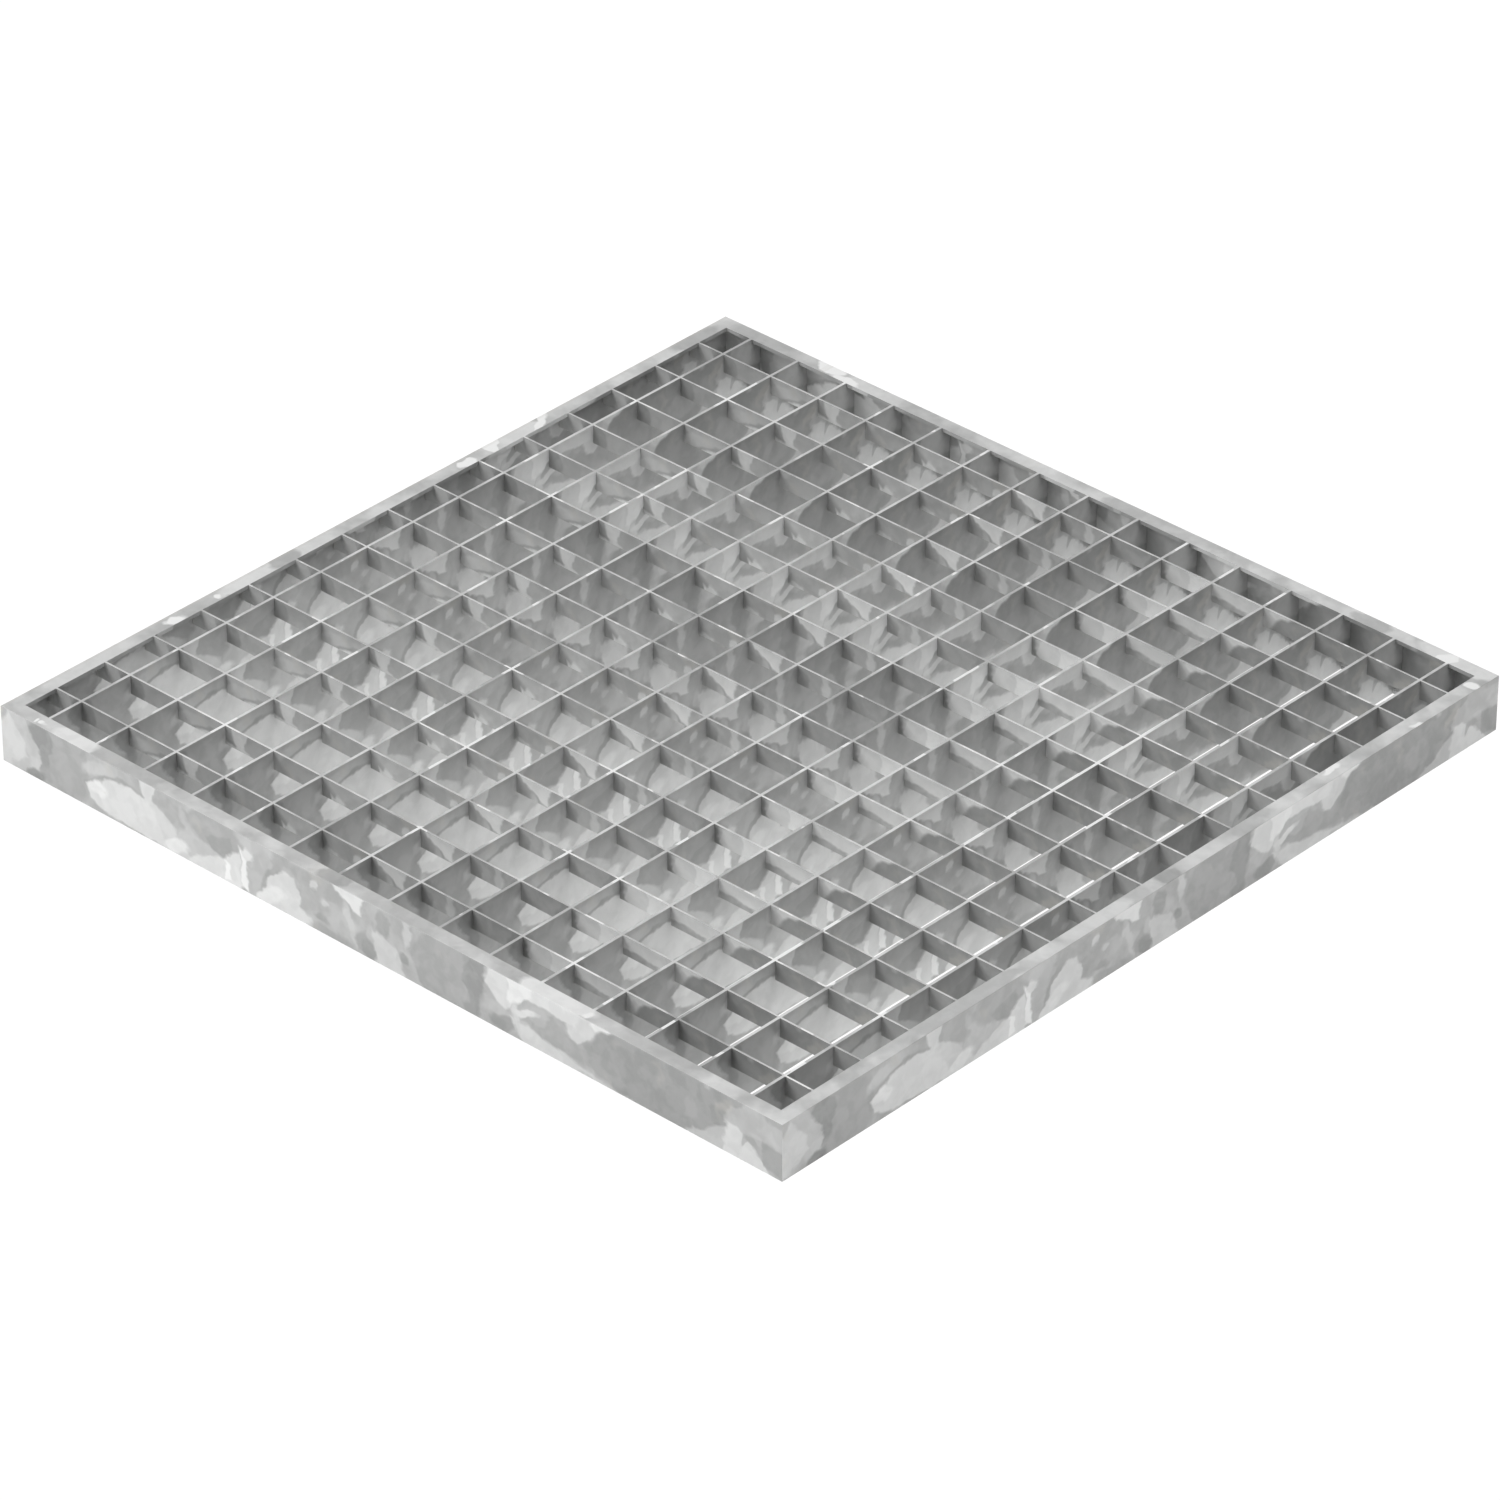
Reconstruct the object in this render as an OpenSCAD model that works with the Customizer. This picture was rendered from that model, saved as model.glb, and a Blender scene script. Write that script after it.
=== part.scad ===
// Steel grating panel. Bearing bars run along Y and cross bars along X, pressed
// into one lattice with all tops flush. Four mitred lengths of U-profile edging
// close the panel, and every bar end is notched into a tongue that enters them.
// The origin is the middle of the underside, and the panel lies flat.

/* [Panel] */
// Overall width, across the bearing bars
panel_w = 490; // [200:1:990]
// Overall length, along the bearing bars
panel_l = 490; // [200:1:990]
// Overall height, which is also the depth of the bearing bars
panel_h = 30; // [20:1:50]

/* [Bearing bars] */
// Thickness of each bearing bar
bearing_t = 1.5; // [1:0.1:5]
// Spacing of the bearing bars from centre to centre
bearing_pitch = 31.5; // [12:0.5:66]

/* [Cross bars] */
// Thickness of each cross bar
cross_t = 1; // [0.8:0.1:4]
// Depth of each cross bar below the walking face
cross_h = 10; // [6:0.5:18]
// Spacing of the cross bars from centre to centre
cross_pitch = 31; // [12:0.5:66]

/* [Edging] */
// Width of the two flanges of the U-profile, from outside to free edge
flange_w = 8; // [6:0.5:16]
// Thickness of the two flanges
flange_t = 2; // [1.5:0.1:4]
// Thickness of the upright web
web_t = 2; // [1.5:0.1:4]
// Radius of the long outer edges
edge_r = 0.3; // [0.1:0.1:1]

/* [Seating] */
// Smallest clear space left between an edge flange and the first bar
border_min = 12; // [4:1:40]
// Clearance above each tongue and past its end
tongue_play = 0.1; // [0.05:0.05:0.5]

/* [Hidden] */

$fn = 24;
zinc = [0.68, 0.69, 0.69];
zinc_edging = [0.76, 0.77, 0.77];

// Clear size between the free edges of opposite flanges
clear_w = panel_w - 2 * flange_w;
clear_l = panel_l - 2 * flange_w;

// Highest level that a tongue reaches, and how far it runs past the flange edge
tongue_top = panel_h - flange_t - tongue_play;
tongue_reach = flange_w - web_t - tongue_play;

// How many bars fit at their pitch between two flanges
function bar_count(clear_size, pitch, thickness) =
    1 + floor((clear_size - 2 * border_min - thickness) / pitch);

// Centre lines of that many bars, spread evenly about the middle
function bar_places(clear_size, pitch, thickness) =
    let (count = bar_count(clear_size, pitch, thickness))
    [for (i = [0:count - 1]) (i - (count - 1) / 2) * pitch];

// Side view of a bar: full depth between the flanges, and a tongue at each end
// that lies on the lower flange, or hangs level with a shallow bar's underside
module bar_outline(clear_size, depth) {
    underside = panel_h - depth;
    tongue_bottom = max(underside, flange_t);
    translate([-clear_size / 2, underside])
        square([clear_size, depth]);
    translate([-clear_size / 2 - tongue_reach, tongue_bottom])
        square([clear_size + 2 * tongue_reach, tongue_top - tongue_bottom]);
}

// One bar on edge along X, centred on the Y axis
module bar(clear_size, depth, thickness) {
    rotate([90, 0, 0])
        linear_extrude(thickness, center = true)
            bar_outline(clear_size, depth);
}

module bar_grid() {
    color(zinc)
        union() {
            for (x = bar_places(clear_w, bearing_pitch, bearing_t))
                translate([x, 0, 0])
                    rotate([0, 0, 90])
                        bar(clear_l, panel_h, bearing_t);
            for (y = bar_places(clear_l, cross_pitch, cross_t))
                translate([0, y, 0])
                    bar(clear_w, cross_h, cross_t);
        }
}

// U-profile seen from its end: the web stands on the Y axis, flanges towards +X
module edging_profile() {
    difference() {
        union() {
            translate([edge_r, 0])
                square([flange_w - edge_r, panel_h]);
            translate([0, edge_r])
                square([edge_r, panel_h - 2 * edge_r]);
            for (z = [edge_r, panel_h - edge_r])
                translate([edge_r, z])
                    circle(edge_r);
        }
        translate([web_t, flange_t])
            square([flange_w, panel_h - 2 * flange_t]);
    }
}

// Plan of one side of the frame, cut at 45 degrees where it meets its neighbours
module mitred_plan(side, across) {
    polygon([
        [-side / 2, -across / 2],
        [side / 2, -across / 2],
        [side / 2 - flange_w, flange_w - across / 2],
        [flange_w - side / 2, flange_w - across / 2]
    ]);
}

// Edging along one side, drawn on the -Y side of a panel that is across deep
module edge_bar(side, across) {
    color(zinc_edging)
        intersection() {
            translate([0, -across / 2, 0])
                rotate([90, 0, 90])
                    linear_extrude(side, center = true)
                        edging_profile();
            linear_extrude(panel_h)
                mitred_plan(side, across);
        }
}

module edge_bar_front() {
    edge_bar(panel_w, panel_l);
}

module edge_bar_back() {
    rotate([0, 0, 180])
        edge_bar(panel_w, panel_l);
}

module edge_bar_left() {
    rotate([0, 0, -90])
        edge_bar(panel_l, panel_w);
}

module edge_bar_right() {
    rotate([0, 0, 90])
        edge_bar(panel_l, panel_w);
}

bar_grid();
edge_bar_front();
edge_bar_back();
edge_bar_left();
edge_bar_right();
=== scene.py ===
import math
import bpy
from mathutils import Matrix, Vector

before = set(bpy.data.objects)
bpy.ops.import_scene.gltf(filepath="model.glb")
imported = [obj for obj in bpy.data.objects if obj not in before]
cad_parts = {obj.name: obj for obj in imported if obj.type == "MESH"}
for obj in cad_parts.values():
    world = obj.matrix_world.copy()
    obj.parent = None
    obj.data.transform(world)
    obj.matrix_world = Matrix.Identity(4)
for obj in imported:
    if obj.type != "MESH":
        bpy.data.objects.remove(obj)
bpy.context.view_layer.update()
print("frame loaded:", ", ".join(sorted(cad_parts)))


# A shader socket that takes part in plain sums. Wire(tree) has no socket, and only adds nodes.
class Wire:
    def __init__(self, tree, socket=None):
        self.tree = tree
        self.socket = socket

    # adds any node: its settings first, then values or links for its sockets
    def node(self, kind, settings=None, inputs=None, out=0):
        made = self.tree.nodes.new("ShaderNode" + kind)
        for name, value in (settings or {}).items():
            setattr(made, name, value)
        for name, value in (inputs or {}).items():
            if isinstance(value, Wire):
                self.tree.links.new(value.socket, made.inputs[name])
            else:
                made.inputs[name].default_value = value
        if isinstance(out, (list, tuple)):
            return [Wire(self.tree, made.outputs[each]) for each in out]
        return Wire(self.tree, made.outputs[out]) if made.outputs else None

    def math(self, operation, first, second=0.0):
        return self.node("Math", {"operation": operation}, {0: first, 1: second})

    def __add__(self, other):
        return self.math("ADD", self, other)

    def __sub__(self, other):
        return self.math("SUBTRACT", self, other)

    def __rsub__(self, other):
        return self.math("SUBTRACT", other, self)

    def __mul__(self, other):
        return self.math("MULTIPLY", self, other)

    def __gt__(self, other):
        return self.math("GREATER_THAN", self, other)

    def __lt__(self, other):
        return self.math("LESS_THAN", self, other)

    __radd__ = __add__
    __rmul__ = __mul__

    def size(self):
        return self.math("ABSOLUTE", self)

    # this value, moved to goal by a share that counts as 0 below 0 and as 1 above 1
    def towards(self, goal, share):
        return self.node("Mix", {"data_type": "FLOAT"}, {0: share, 2: self, 3: goal})

    # 0 below low, 1 above high
    def step(self, low, high):
        inputs = {"Value": self, "From Min": low, "From Max": high}
        return self.node("MapRange", {"interpolation_type": "SMOOTHSTEP"}, inputs)


# The zinc coat, with painted highlights on the bar tops. Sizes are in mm, and each noise has its scale
# per mm, detail and swirl.
zinc = {
    "dark": (0.287, 0.29, 0.287, 1),  # dull grey crystal fields
    "light": (0.968, 0.972, 0.966, 1),  # fresh bright fields
    "warm": (0.60, 0.585, 0.54, 1),  # faint yellowish stain
    "colourReach": 0.94,  # how far a tone of 1 goes from dark to light
    "metallic": 0.2,
    "roughness": (0.42, 0.62),
    "relief": 0.02,
    "fade": 1.5,  # width of a field's outline
    "mostFade": 0.6,  # but no more than this share of a round field's smaller half size
    "drift": (10.0, 7.0, 0.0),  # how far outlines can wander along and up, from end to end
    "driftNoise": {"Scale": 0.1, "Detail": 2.6, "Roughness": 0.55},
    "sideLayer": 0.0,  # depths at which the noise is cut for the upright and walking faces
    "topLayer": 40.0,
    "squareOn": 0.7,  # a face belongs to an axis when its normal leans on it by more than this
    "sideBase": {"noise": (0.06, 3.0, 0.0), "range": (0.3, 0.7), "tone": (0.25, 0.45)},
    "topBase": {"noise": (0.04, 3.0, 0.0), "range": (0.32, 0.68), "tone": (0.30, 0.72)},
    # painted highlights: bright white streaks and dots on the bar tops, lifted past the lightest zinc
    # tone
    "barTopHighlights": {"noise": (0.055, 1.0, 0.0), "range": (0.62, 0.66), "tone": 1.08, "inside": 236.5},
    "cloud": {"noise": (0.12, 2.0, 0.4), "range": (0.38, 0.62), "depth": 0.08},
    "fine": {"noise": (0.25, 3.0, 0.0), "depth": 0.08},
    "grain": {"noise": (1.4, 2.0, 0.0), "depth": 0.05},
    "stain": {"noise": (0.06, 3.0, 0.0), "range": (0.62, 0.75), "depth": 0.35},
}

# Fields on the upright faces, shared by every bar and edge, in the order that they are laid.
# A round field has its place along the bar and its height in mm, half length, half height,
# clockwise lean in degrees and tone, from dull 0 to bright 1 or a little past it. A sharp one
# has its tone, then its corners along the bar and up, anticlockwise. It stays open from the
# last corner to the first, unless the first is repeated.
sideFields = [
    (-206, 16, 20, 22, 0, 0.25),
    (-218.5, 19, 7.6, 12, 0, 0.10),
    (0.47, [(-229, 3.5), (-221.5, 5.8), (-218.5, 9), (-219, 13.5), (-229, 30)]),
    (-223.5, 8.5, 4, 3.5, 0, 0.53),
    (0.65, [(-250, 1), (-240.5, 1), (-228, 9.5), (-230, 17), (-242.5, 31)]),
    (-246, 30, 5, 7, 0, 0.36),
    (-223.5, 2.2, 6, 3.2, -15, 0.04),
    (-181, 23, 11, 3.6, -18, 0.52),
    (0.20, [(-131, 9), (-147, 23.5), (-166, 25.8), (-189.5, 14), (-184, 6), (-158, -1)]),
    (-132, 23, 13, 9, 20, 0.30),
    (-121.5, 19.5, 2.6, 8, -25, 0.47),
    (0.64, [(-116, 1.6), (-141, 20.2), (-148, 23), (-140, -2)]),
    (0.74, [(-136.5, 0.4), (-143, 16), (-146.6, 22), (-162, 23.4), (-172.2, 21.2), (-187.2, 13.4),
            (-185.8, 6), (-180, 3.2), (-166, 1.2), (-136.5, 0.4)]),
    (-180.5, 13, 5.5, 3.6, -5, 0.90),
    (0.71, [(-153, 31), (-149.8, 20.5), (-145, 20.5), (-143.2, 31)]),
    (-104, 24, 18, 9, 0, 0.28),
    (0.19, [(-109, 18.6), (-104.7, 12.2), (-98, 12.2), (-93.3, 17.3), (-93.3, 25), (-109, 18.6)]),
    (-112, 8, 17, 8, 10, 0.48),
    (0.76, [(-96, -2), (-98, 12), (-118, 6), (-124, -2)]),
    (-129.6, 4.8, 7.6, 3.8, -20, 0.86),
    (0.80, [(-87, -2), (-87.5, 19), (-94, 17), (-99, 11), (-100, -2)]),
    (-78, 28, 12, 5, 0, 0.48),
    (1.12, [(-98.3, 11), (-98, 1.5), (-93.5, 2.5), (-94, 9.5), (-98.3, 11)]),
    (1.02, [(-86.6, 22), (-87.3, 2), (-82.2, 1.5), (-82.2, 19), (-86.6, 22)]),
    (-82, 20.5, 3.2, 3.2, 0, 0.80),
    (-75, 13, 7, 14, 15, 0.39),
    (-68, 14, 3.2, 15, 30, 0.20),
    (0.71, [(-52, -1.5), (-49, 8), (-48.6, 16), (-53, 21.8), (-59.5, 22.2), (-67.2, 14.4), (-80, -1.5)]),
    (-67.5, 5.2, 10, 4.2, -30, 0.86),
    (0.74, [(-40.5, -2), (-42, 5.5), (-50, 8), (-56, -2)]),
    (-38, 25, 20, 5, 3, 0.27),
    (-35.5, 8.5, 4, 2.6, 0, 0.20),
    (-30, 1, 13, 4, 0, 0.25),
    (-40, 24, 1.8, 2.6, 0, 0.62),
    (-33.5, 17.6, 3, 1.4, 0, 0.58),
    (0.84, [(-26.5, 28.6), (-15.5, 21.6), (-10, 21.2), (-8.8, 31)]),
    (-17, 13, 1.8, 11, -20, 0.54),
    (3, 23, 4.5, 7, 0, 0.18),
    (-5, 14, 2.6, 5, 0, 0.45),
    (0.60, [(19, -2), (9.8, 13.4), (0, 17), (-4, 16), (-2.5, -2)]),
    (-9.5, 7, 4, 5, 0, 0.25),
    (-5.6, 4.2, 3.6, 5, -15, 0.15),
    (18.5, 25, 2.3, 7.4, 0, 0.56),
    (16, 10, 3, 3, 0, 0.14),
    (44, 15, 22, 20, 0, 0.22),
    (0.11, [(57, 31), (53, 20), (54, -2), (61.5, -2), (68, 31)]),
    (51, 9, 6, 6, 0, 0.27),
    (74, 12, 6, 3.4, -20, 0.42),
    (0.74, [(70.5, 31), (67, 22.4), (69.4, 18), (74.5, 14.5), (79.5, 13), (83.5, 14.5), (86, 22),
            (84, 31)]),
    (78, 4.5, 8.5, 4.2, -12, 0.13),
    (0.67, [(116, 31), (115.5, 22), (120.5, 16), (124.5, 14.8), (131, 20.5), (141, 31)]),
    (0.78, [(89, 31), (90, 24.2), (108, 23), (121, 23.4), (124, 27)]),
    (0.93, [(80.5, 31), (80.5, 18.5), (83, 17), (87, 20), (92, 24), (95, 31)]),
    (0.24, [(89, 12), (106, 7), (122, 5), (136, 5), (126, 13.5), (114, 19.3), (107, 22), (97, 16.6),
            (89, 12)]),
    (100, 17.5, 6, 5, 0, 0.38),
    (0.66, [(124, 3.8), (88, 10), (83, 10), (85.5, 5), (92, -2)]),
    (86, 14, 2.2, 5, 0, 0.66),
    (92, 15.6, 8, 1.8, -15, 0.76),
    (138, 28.8, 6.5, 3.8, 0, 0.90),
    (172, 16, 42, 18, 0, 0.13),
    (186, 14, 9, 8, -20, 0.19),
    (207, 26, 6.5, 6, 0, 0.13),
    (140, 8, 12, 6, 15, 0.18),
    (135, -2.5, 15, 3.6, 5, 0.46),
    (0.39, [(216.5, 31), (209.5, 15), (247, 10)]),
    (216, 30, 7, 4, 0, 0.18),
    (242, 20.5, 6, 3.8, 0, 0.46),
    (243, 30.5, 8, 4, 0, 0.24),
    (0.47, [(214, -2), (214, 13), (205, 10), (194, 5), (187, -2)]),
    (0.71, [(240, -1.5), (234, 4.6), (221.5, 15), (217, 17.4), (212, 16.4), (210, 3), (209.4, -1.5)]),
    (223.2, 11, 1.2, 3.2, 38, 0.40),
    (226.5, 12.6, 3.4, 2, 20, 0.24),
    (229.5, 16.4, 3.5, 1.3, 0, 0.48),
    (0.17, [(247, 15.4), (233.5, 15.8), (233.5, 3.5), (247, 0.5)]),
]

# Fields on the walking face: place across and along the panel in mm, half sizes, lean, tone.
# Those with a tone past 1 are painted highlights, white glints on the bar tops and edge flanges;
# the others are the zinc's own tone. Sharp ones have their tone and corners, as above.
topFieldsAndHighlights = [
    (-215, 212, 14, 26, 0, 0.22),
    (-127, 138, 16, 28, 0, 0.24),
    (31, 172, 26, 42, -20, 0.25),
    (124, 162, 14, 18, 0, 0.22),
    (-48, 22, 34, 26, 0, 0.25),
    (46, 22, 24, 22, 0, 0.22),
    (-98, -56, 24, 26, 0, 0.22),
    (34, -212, 20, 26, 0, 0.25),
    (170, -216, 18, 8, 0, 0.18),
    (141, 66, 44, 60, -10, 0.76),
    (104, -26, 38, 26, 0, 0.72),
    (-150, -184, 54, 26, 0, 0.72),
    (-190, 190, 7, 14, 0, 1.15),
    (154, 54, 6, 46, 5, 1.10),
    (114, 31, 13, 6, 0, 1.10),
    (-2, -88, 16, 8, 25, 1.15),
    (-66, -119, 10, 8, 0, 1.15),
    (157, -150, 5, 13, 0, 1.25),
    (-162, -186, 14, 9, 0, 1.25),
    (98, -216, 14, 6, 0, 1.20),
    (-172, 243, 7.5, 4.5, 0, 1.30),
    (-160, 238.5, 8, 2.4, 0, 1.30),
    (172, 241, 12, 6, 0, 0.36),
    (20, 241, 12, 7, 0, 0.36),
    (224, 243, 24, 8, 0, 0.76),
    (219, 240.4, 5, 4, 0, 1.25),
    (241.8, 230, 5, 3.2, 0, 1.30),
    (244, 186, 2, 3, 0, 1.10),
    (238, 130, 2.5, 5.5, 0, 1.20),
    (-241, 94, 7, 13, 0, 0.72),
    (1.30, [(-246, 109.8), (-236, 101.6), (-236, 106.8), (-246, 117.4)]),
    (1.30, [(-246, 71.6), (-236, 71.6), (-236, 75.6), (-246, 82.6)]),
    (-239.8, 56.6, 3.2, 4.9, 0, 1.25),
    (-241, -193, 7, 30, 0, 0.64),
    (-241, -92, 7, 17, 0, 0.74),
    (-240, -139, 2.4, 5.5, 0, 1.15),
    (-240.5, -110.6, 2, 1.8, 0, 1.10),
    (-223.5, -241.5, 1.2, 1.5, 0, 1.05),
    (-220.2, -241.5, 1.1, 1.8, 0, 1.05),
    (-198, -241, 14, 7, 0, 0.84),
    (-165, -241, 20, 8, 0, 0.34),
    (-31, -241, 9, 8, 0, 0.20),
    (14, -241, 15, 7, 0, 0.36),
    (108, -241, 22, 8, 0, 0.86),
    (127.5, -242.5, 1.8, 2.5, 0, 1.05),
    (241, -120, 6, 38, 0, 0.38),
    (241, -35, 6, 22, 0, 0.66),
    (241, 14, 6, 7, 0, 0.16),
    (-216, 242, 18, 7, 0, 0.26),
    (-241, 218, 6, 16, 0, 0.26),
    (-241, -65, 6, 10, 0, 0.26),
]


def layFields(place, base, fields):
    tone = base
    turned = {0: place}  # the place turned by each lean in use
    for field in fields:
        if len(field) == 2:
            goal, corners = field
            share = sharpField(place, corners)
        else:
            lean, goal = field[4:]
            if lean not in turned:
                spin = (0, 0, math.radians(lean))
                turned[lean] = place.node("Mapping", None, {"Vector": place, "Rotation": spin})
            share = roundField(turned[lean], *field[:5])
        tone = tone.towards(goal, share)
    return tone


# half on the outline of a round field, 0 or less just outside it, and 1 or more just inside
def roundField(turned, along, height, halfAlong, halfHeight, lean):
    cos = math.cos(math.radians(lean))
    sin = math.sin(math.radians(lean))
    fade = min(zinc["mostFade"], zinc["fade"] / min(halfAlong, halfHeight))
    wide = halfAlong * fade
    tall = halfHeight * fade
    shift = ((sin * height - cos * along) / wide, (-cos * height - sin * along) / tall, 0)
    inputs = {0: turned, 1: (1 / wide, 1 / tall, 0), 2: shift}
    local = turned.node("VectorMath", {"operation": "MULTIPLY_ADD"}, inputs)
    return 1 / fade + 0.5 - turned.node("VectorMath", {"operation": "LENGTH"}, {0: local}, out=1)


# the same for a sharp field, taken from the side that the place is least far behind
def sharpField(place, corners):
    depth = None
    for (x0, y0), (x1, y1) in zip(corners, corners[1:]):
        run = math.hypot(x1 - x0, y1 - y0) * zinc["fade"]
        side = ((y0 - y1) / run, (x1 - x0) / run, (x0 * y1 - x1 * y0) / run + 0.5)
        behind = place.node("VectorMath", {"operation": "DOT_PRODUCT"}, {0: place, 1: side}, out=1)
        depth = behind if depth is None else place.math("MINIMUM", depth, behind)
    return depth


# A flat place with 1 as its third value. A slow drift bends it, and so the outlines.
def driftingPlace(wire, across, up, layer):
    flat = wire.node("CombineXYZ", None, {"X": across, "Y": up, "Z": layer})
    drift = wire.node("TexNoise", None, {"Vector": flat, **zinc["driftNoise"]}, out=1)
    reach = zinc["drift"]
    back = tuple(-each / 2 for each in reach)
    drift = wire.node("VectorMath", {"operation": "MULTIPLY_ADD"}, {0: drift, 1: reach, 2: back})
    moved = wire.node("VectorMath", {"operation": "ADD"}, {0: flat, 1: drift})
    return wire.node("VectorMath", {"operation": "MULTIPLY_ADD"}, {0: moved, 1: (1, 1, 0), 2: (0, 0, 1)})


def mottle(place, spec):
    scale, detail, swirl = spec["noise"]
    inputs = {"Vector": place, "Scale": scale, "Detail": detail, "Distortion": swirl}
    found = place.node("TexNoise", None, inputs)
    return found.step(*spec["range"]) if "range" in spec else found


def baseTone(place, spec):
    low, high = spec["tone"]
    return mottle(place, spec) * (high - low) + low


def mixColour(share, first, second):
    return share.node("Mix", {"data_type": "RGBA"}, {0: share, 6: first, 7: second}, out=2)


def zincMaterial(name):
    made = bpy.data.materials.new(name)
    made.use_nodes = True
    made.node_tree.nodes.clear()
    wire = Wire(made.node_tree)
    metres, facing = wire.node("TexCoord", out=("Object", "Normal"))
    parts = wire.node("VectorMath", {"operation": "SCALE"}, {0: metres, "Scale": 1000.0})
    x, y, z = wire.node("SeparateXYZ", None, {0: parts}, out=(0, 1, 2))
    lean = wire.node("SeparateXYZ", None, {0: facing}, out=(0, 2))
    faceX, faceZ = [each.size() > zinc["squareOn"] for each in lean]

    sidePlace = driftingPlace(wire, x.towards(y, faceX), z, zinc["sideLayer"])
    side = layFields(sidePlace, baseTone(sidePlace, zinc["sideBase"]), sideFields)
    topPlace = driftingPlace(wire, x, y, zinc["topLayer"])
    # the walking face's zinc tone, with painted highlights from the fields past 1
    top = layFields(topPlace, baseTone(topPlace, zinc["topBase"]), topFieldsAndHighlights)
    # painted highlights on the bar tops, kept inside the edging
    inside = wire.math("MAXIMUM", x.size(), y.size()) < zinc["barTopHighlights"]["inside"]
    top = top.towards(zinc["barTopHighlights"]["tone"], mottle(topPlace, zinc["barTopHighlights"]) * inside)
    fine = mottle(parts, zinc["fine"])
    tone = side.towards(top, faceZ)
    tone = tone + (mottle(parts, zinc["cloud"]) - 0.5) * zinc["cloud"]["depth"]
    tone = tone + (fine - 0.5) * zinc["fine"]["depth"]
    tone = tone + (mottle(parts, zinc["grain"]) - 0.5) * zinc["grain"]["depth"]

    colour = mixColour(tone * zinc["colourReach"], zinc["dark"], zinc["light"])
    stain = mottle(sidePlace, zinc["stain"]) * zinc["stain"]["depth"]
    colour = mixColour(stain, colour, zinc["warm"])
    smooth, dull = zinc["roughness"]
    rough = tone * (dull - smooth) + smooth
    bump = wire.node("Bump", None, {"Height": fine, "Distance": zinc["relief"] / 1000, "Strength": 1.0})
    inputs = {"Base Color": colour, "Metallic": zinc["metallic"], "Roughness": rough, "Normal": bump}
    shader = wire.node("BsdfPrincipled", None, inputs)
    wire.node("OutputMaterial", None, {"Surface": shader})
    return made


# zinc tone together with the painted highlights
coat = zincMaterial("zincAndPaintedHighlights")
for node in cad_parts.values():
    node.data.materials.clear()
    node.data.materials.append(coat)
print("zinc coat on", len(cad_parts), "pieces")

# The floor is plain white to the camera, and glows weakly for the light that reaches the part.
floorSet = {"size": 40.0, "drop": 0.0002, "white": (0.85, 0.85, 0.85, 1), "glow": 0.28, "seen": 1.05}


def layFloor():
    bpy.ops.mesh.primitive_plane_add(size=floorSet["size"], location=(0, 0, -floorSet["drop"]))
    floor = bpy.context.object
    floor.name = "studioFloor"
    made = bpy.data.materials.new("floorWhite")
    made.use_nodes = True
    made.node_tree.nodes.clear()
    wire = Wire(made.node_tree)
    pale = wire.node("BsdfDiffuse", None, {"Color": floorSet["white"]})
    glow = wire.node("Emission", None, {"Strength": floorSet["glow"]})
    lit = wire.node("AddShader", None, {0: pale, 1: glow})
    blank = wire.node("Emission", None, {"Strength": floorSet["seen"]})
    byCamera = wire.node("LightPath")
    both = wire.node("MixShader", None, {0: byCamera, 1: lit, 2: blank})
    wire.node("OutputMaterial", None, {"Surface": both})
    floor.data.materials.append(made)


layFloor()
print("floor laid")

# Each lamp has its place, side and watts, and faces the middle of the panel.
lightSet = {
    "sky": 0.05,
    "front": {"from": (-1.6, -2.2, 2.2), "size": 2.4, "watts": 78.5},
    "right": {"from": (1.7, 0.2, 2.8), "size": 2.4, "watts": 58.0},
    "back": {"from": (-2.2, 2.2, 2.0), "size": 2.4, "watts": 26.0},
}


def hangLamp(name, spec):
    bpy.ops.object.light_add(type="AREA", location=spec["from"])
    lamp = bpy.context.object
    lamp.name = name + "Light"
    lamp.data.size = spec["size"]
    lamp.data.energy = spec["watts"]
    lamp.rotation_euler = (-Vector(spec["from"])).to_track_quat("-Z", "Y").to_euler()


def lightSky(strength):
    sky = bpy.data.worlds.new("studioSky")
    sky.use_nodes = True
    shade = sky.node_tree.nodes["Background"]
    shade.inputs["Color"].default_value = (1, 1, 1, 1)
    shade.inputs["Strength"].default_value = strength
    bpy.context.scene.world = sky


lightSky(lightSet["sky"])
for name, spec in lightSet.items():
    if name != "sky":
        hangLamp(name, spec)
print("lamps hung:", len(lightSet) - 1)

cameraSet = {
    "azimuth": 42.853,
    "elevation": 32.881,
    "distance": 3.84356,
    "aim": (0.03381, -0.03773, 0.030),
    "lens": 201.83,
    "sensor": 36.0,
    "farthest": 200.0,
}


def placeCamera():
    azimuth = math.radians(cameraSet["azimuth"])
    elevation = math.radians(cameraSet["elevation"])
    flat = math.cos(elevation)
    back = Vector((math.sin(azimuth) * flat, -math.cos(azimuth) * flat, math.sin(elevation)))
    bpy.ops.object.camera_add(location=Vector(cameraSet["aim"]) + back * cameraSet["distance"])
    camera = bpy.context.object
    camera.rotation_euler = (-back).to_track_quat("-Z", "Y").to_euler()
    camera.data.lens = cameraSet["lens"]
    camera.data.sensor_width = cameraSet["sensor"]
    camera.data.clip_end = cameraSet["farthest"]
    bpy.context.scene.camera = camera


placeCamera()
bpy.context.scene.view_settings.view_transform = "Standard"
print("camera placed")
